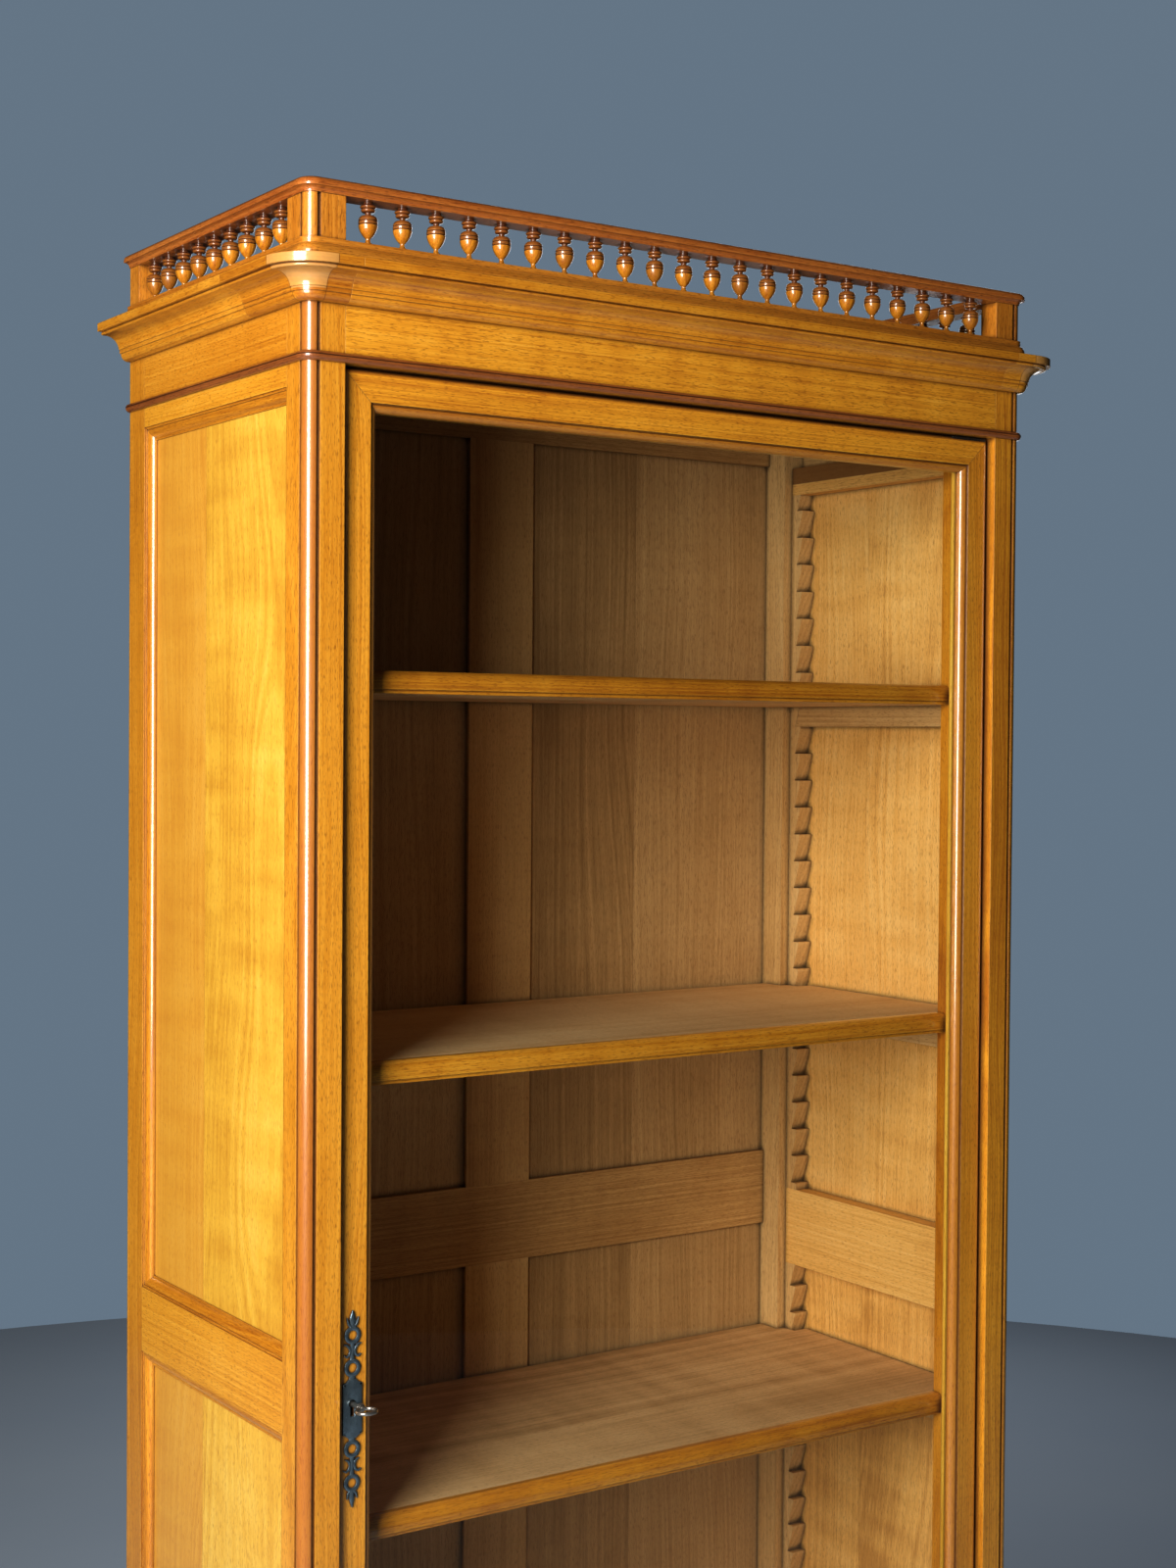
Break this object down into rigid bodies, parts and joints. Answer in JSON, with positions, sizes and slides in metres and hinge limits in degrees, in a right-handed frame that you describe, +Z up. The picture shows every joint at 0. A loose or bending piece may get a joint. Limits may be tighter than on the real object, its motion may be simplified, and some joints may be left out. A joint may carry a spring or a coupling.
{
  "type": "display cabinet",
  "caption": "Tall glazed display cabinet with a pivot-hung door, adjustable shelves on toothed racks, panelled sides, a moulded cornice and a balustrade on top.",
  "frame": {"origin": "on the floor under the middle of the overall width and depth, cornice included", "axes": "+Z up, the door faces -Y, +X to the right seen from the front"},
  "size_m": [0.988, 0.455, 2.1995],
  "materials": {
    "beech": "wax polished honey beech with fine short flecks",
    "panel_beech": "polished, a brighter yellow than the frame",
    "dark_beech": "polished, stained dark reddish brown",
    "bare_beech": "unvarnished, greyed inside wood",
    "glass": "clear drawn sheet glass",
    "old_iron": "dark worn cast metal",
    "steel": "plain worn steel"
  },
  "bodies": {
    "carcass": {"front_left_post": "beech", "front_right_post": "beech", "door_stop_strips": "beech", "back_left_post": "beech", "back_right_post": "beech", "left_side_rails": "beech", "right_side_rails": "beech", "side_panels": "panel_beech", "side_panel_mouldings": "beech", "front_frieze": "beech", "side_friezes": "beech", "head_stop_rail": "bare_beech", "frieze_bead": "dark_beech", "cornice_front": "beech", "cornice_sides": "beech", "cornice_corner_blocks": "beech", "top_board": "beech", "ceiling_board": "bare_beech", "bottom_rail": "beech", "bottom_board": "bare_beech", "plinth_boards": "beech", "base_moulding": "beech", "back_rails": "bare_beech", "back_muntins": "bare_beech", "back_panels": "bare_beech", "left_racks": "bare_beech", "right_racks": "bare_beech", "gallery_posts": "beech", "gallery_base_rails": "dark_beech", "gallery_top_rails": "dark_beech", "front_balusters": "beech", "side_balusters": "beech", "strike_plate": "steel", "frame_pivot_plates": "steel", "frame_screws": "steel"},
    "door": {"door_lock_stile": "beech", "door_hinge_stile": "beech", "door_top_rail": "beech", "door_bottom_rail": "beech", "door_glass": "glass", "glass_beads": "beech", "door_pivot_plates": "steel", "escutcheon": "old_iron", "lock_case": "steel", "door_screws": "steel"},
    "bolt": {"lock_bolt": "steel"},
    "key": {"key": "steel"},
    "shelf_1": {"shelf_1": "bare_beech"},
    "left_cleat_1": {"left_cleat_1": "bare_beech"},
    "right_cleat_1": {"right_cleat_1": "bare_beech"},
    "shelf_2": {"shelf_2": "bare_beech"},
    "left_cleat_2": {"left_cleat_2": "bare_beech"},
    "right_cleat_2": {"right_cleat_2": "bare_beech"},
    "shelf_3": {"shelf_3": "bare_beech"},
    "left_cleat_3": {"left_cleat_3": "bare_beech"},
    "right_cleat_3": {"right_cleat_3": "bare_beech"},
    "shelf_4": {"shelf_4": "bare_beech"},
    "left_cleat_4": {"left_cleat_4": "bare_beech"},
    "right_cleat_4": {"right_cleat_4": "bare_beech"}
  },
  "joints": [
    {"name": "door_hinge", "type": "hinge", "parent": "carcass", "child": "door", "pos_m": [0.407, -0.173, 0.078], "axis": [0, 0, 1], "range_deg": [0, 90]},
    {"name": "key_turn", "type": "hinge", "parent": "door", "child": "key", "pos_m": [-0.4, -0.163, 1.055], "axis": [0, -1, 0], "range_deg": [0, 180]},
    {"name": "bolt_slide", "type": "slide", "parent": "door", "child": "bolt", "axis": [-1, 0, 0], "range_m": [0, 0.009]},
    {"name": "shelf_1_lift", "type": "slide", "parent": "carcass", "child": "shelf_1", "axis": [0, 0, 1], "range_m": [0, 0.244]},
    {"name": "left_cleat_1_slide", "type": "slide", "parent": "carcass", "child": "left_cleat_1", "axis": [1, 0, 0], "range_m": [0, 0.024]},
    {"name": "right_cleat_1_slide", "type": "slide", "parent": "carcass", "child": "right_cleat_1", "axis": [-1, 0, 0], "range_m": [0, 0.024]},
    {"name": "shelf_2_lift", "type": "slide", "parent": "carcass", "child": "shelf_2", "axis": [0, 0, 1], "range_m": [0, 0.327]},
    {"name": "left_cleat_2_slide", "type": "slide", "parent": "carcass", "child": "left_cleat_2", "axis": [1, 0, 0], "range_m": [0, 0.024]},
    {"name": "right_cleat_2_slide", "type": "slide", "parent": "carcass", "child": "right_cleat_2", "axis": [-1, 0, 0], "range_m": [0, 0.024]},
    {"name": "shelf_3_lift", "type": "slide", "parent": "carcass", "child": "shelf_3", "axis": [0, 0, 1], "range_m": [0, 0.08]},
    {"name": "left_cleat_3_slide", "type": "slide", "parent": "carcass", "child": "left_cleat_3", "axis": [1, 0, 0], "range_m": [0, 0.024]},
    {"name": "right_cleat_3_slide", "type": "slide", "parent": "carcass", "child": "right_cleat_3", "axis": [-1, 0, 0], "range_m": [0, 0.024]},
    {"name": "shelf_4_lift", "type": "slide", "parent": "carcass", "child": "shelf_4", "axis": [0, 0, 1], "range_m": [0, 0.361]},
    {"name": "left_cleat_4_slide", "type": "slide", "parent": "carcass", "child": "left_cleat_4", "axis": [1, 0, 0], "range_m": [0, 0.024]},
    {"name": "right_cleat_4_slide", "type": "slide", "parent": "carcass", "child": "right_cleat_4", "axis": [-1, 0, 0], "range_m": [0, 0.024]}
  ],
  "couplings": [
    {"joint": "bolt_slide", "follows": "key_turn", "m_per_rad": 0.0028648}
  ]
}
